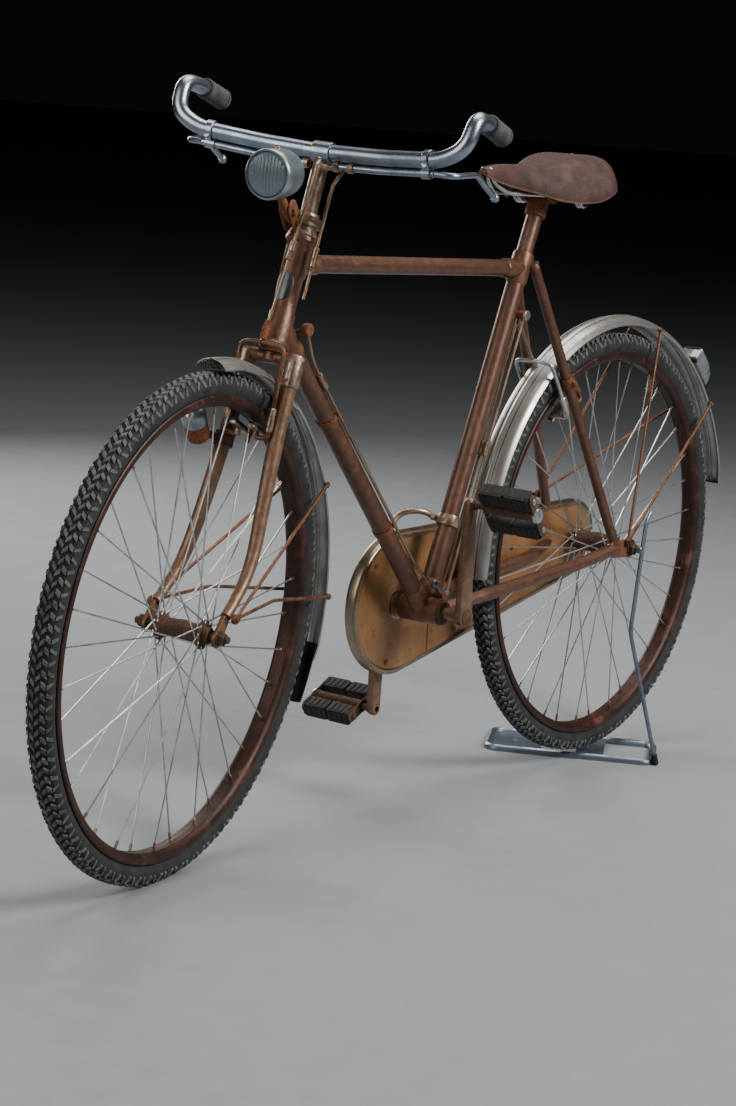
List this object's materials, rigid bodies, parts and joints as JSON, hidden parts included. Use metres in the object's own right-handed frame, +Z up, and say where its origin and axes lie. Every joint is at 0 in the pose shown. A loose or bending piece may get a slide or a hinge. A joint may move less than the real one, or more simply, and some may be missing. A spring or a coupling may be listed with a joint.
{
  "type": "gentleman's roadster bicycle with rod brakes, chain case and floor stand",
  "caption": "Old rusty roadster bicycle with rod brakes, full chain case, leather saddle and dynamo lamp, its rear wheel held by a low floor stand.",
  "frame": {"origin": "on the floor, under the middle of the whole box", "axes": "+X forward to the front wheel, +Y to the rider's left, +Z up"},
  "size_m": [1.7848, 0.4818, 1.0726],
  "materials": {
    "rusted_tube": "old paint under brown rust, dry",
    "rusted_steel": "bare steel with orange rust",
    "dull_chrome": "dulled chrome with pitting",
    "bright_steel": "galvanised wire, greyed",
    "guard_metal": "worn silver paint with rust specks",
    "rusted_rim": "red-brown rust on a steel rim",
    "case_paint": "faded beige paint, rust streaks",
    "tyre_rubber": "grey dusty rubber, block tread",
    "black_rubber": "black rubber, dusty",
    "grip_rubber": "aged grey rubber",
    "saddle_leather": "dry cracked leather",
    "lamp_silver": "dull silver, finely scratched",
    "lens_glass": "ribbed clear glass",
    "stand_zinc": "zinc plated steel, matt"
  },
  "bodies": {
    "frame": {"head_tube": "rusted_tube", "top_tube": "rusted_tube", "down_tube": "rusted_tube", "seat_tube": "rusted_tube", "bottom_bracket_shell": "rusted_tube", "chain_stay_left": "rusted_tube", "chain_stay_right": "rusted_tube", "seat_stay_left": "rusted_tube", "seat_stay_right": "rusted_tube", "seat_post": "rusted_tube", "rear_axle": "rusted_steel", "chain_case": "case_paint", "chain_case_strap": "rusted_steel", "rear_mudguard": "guard_metal", "rear_stays_left": "rusted_steel", "rear_stays_right": "rusted_steel", "down_tube_rod": "bright_steel", "rear_brake_stirrup": "rusted_steel", "seat_tube_rods": "bright_steel", "rear_lamp": "lamp_silver", "ring_lock": "rusted_steel", "saddle_top": "saddle_leather", "saddle_frame": "dull_chrome", "stand_base": "stand_zinc", "stand_rod": "stand_zinc"},
    "steering": {"fork_crown": "rusted_tube", "fork_blade_left": "rusted_tube", "fork_blade_right": "rusted_tube", "front_stays_left": "rusted_steel", "front_stays_right": "rusted_steel", "front_axle": "rusted_steel", "front_mudguard": "guard_metal", "mud_flap": "black_rubber", "stem": "rusted_tube", "handlebar": "dull_chrome", "grip_left": "grip_rubber", "grip_right": "grip_rubber", "brake_lever_left": "bright_steel", "brake_lever_right": "bright_steel", "headlamp_shell": "lamp_silver", "headlamp_lens": "lens_glass", "lamp_bracket": "rusted_steel", "front_brake_stirrup": "rusted_steel", "front_brake_rod": "bright_steel", "rear_brake_swivel_rod": "bright_steel", "dynamo": "lamp_silver"},
    "front_wheel": {"front_tyre": "tyre_rubber", "front_rim": "rusted_rim", "front_hub_and_spokes": "bright_steel"},
    "rear_wheel": {"rear_tyre": "tyre_rubber", "rear_rim": "rusted_rim", "rear_hub_and_spokes": "bright_steel"},
    "crank": {"crankset": "rusted_steel"},
    "left_pedal": {"pedal_left": "black_rubber"},
    "right_pedal": {"pedal_right": "black_rubber"}
  },
  "joints": [
    {"name": "steering", "type": "hinge", "parent": "frame", "child": "steering", "pos_m": [0.50102, 0.00366, 0.33142], "axis": [-0.3039, 0, 0.9527], "range_deg": [-60, 40]},
    {"name": "front_wheel", "type": "hinge", "parent": "steering", "child": "front_wheel", "pos_m": [0.54981, 0.01269, 0.34698], "axis": [-0.1654, 0.9848, -0.0528], "continuous": true},
    {"name": "rear_wheel", "type": "hinge", "parent": "frame", "child": "rear_wheel", "pos_m": [-0.51434, 0.00366, 0.36222], "axis": [0, 1, 0], "continuous": true},
    {"name": "crank", "type": "hinge", "parent": "frame", "child": "crank", "pos_m": [-0.02506, 0.00366, 0.30707], "axis": [0, 1, 0], "continuous": true},
    {"name": "pedal_left", "type": "hinge", "parent": "crank", "child": "left_pedal", "pos_m": [-0.02267, 0.00366, 0.47705], "axis": [0, 1, 0], "continuous": true},
    {"name": "pedal_right", "type": "hinge", "parent": "crank", "child": "right_pedal", "pos_m": [-0.02746, 0.00366, 0.13709], "axis": [0, 1, 0], "continuous": true}
  ]
}
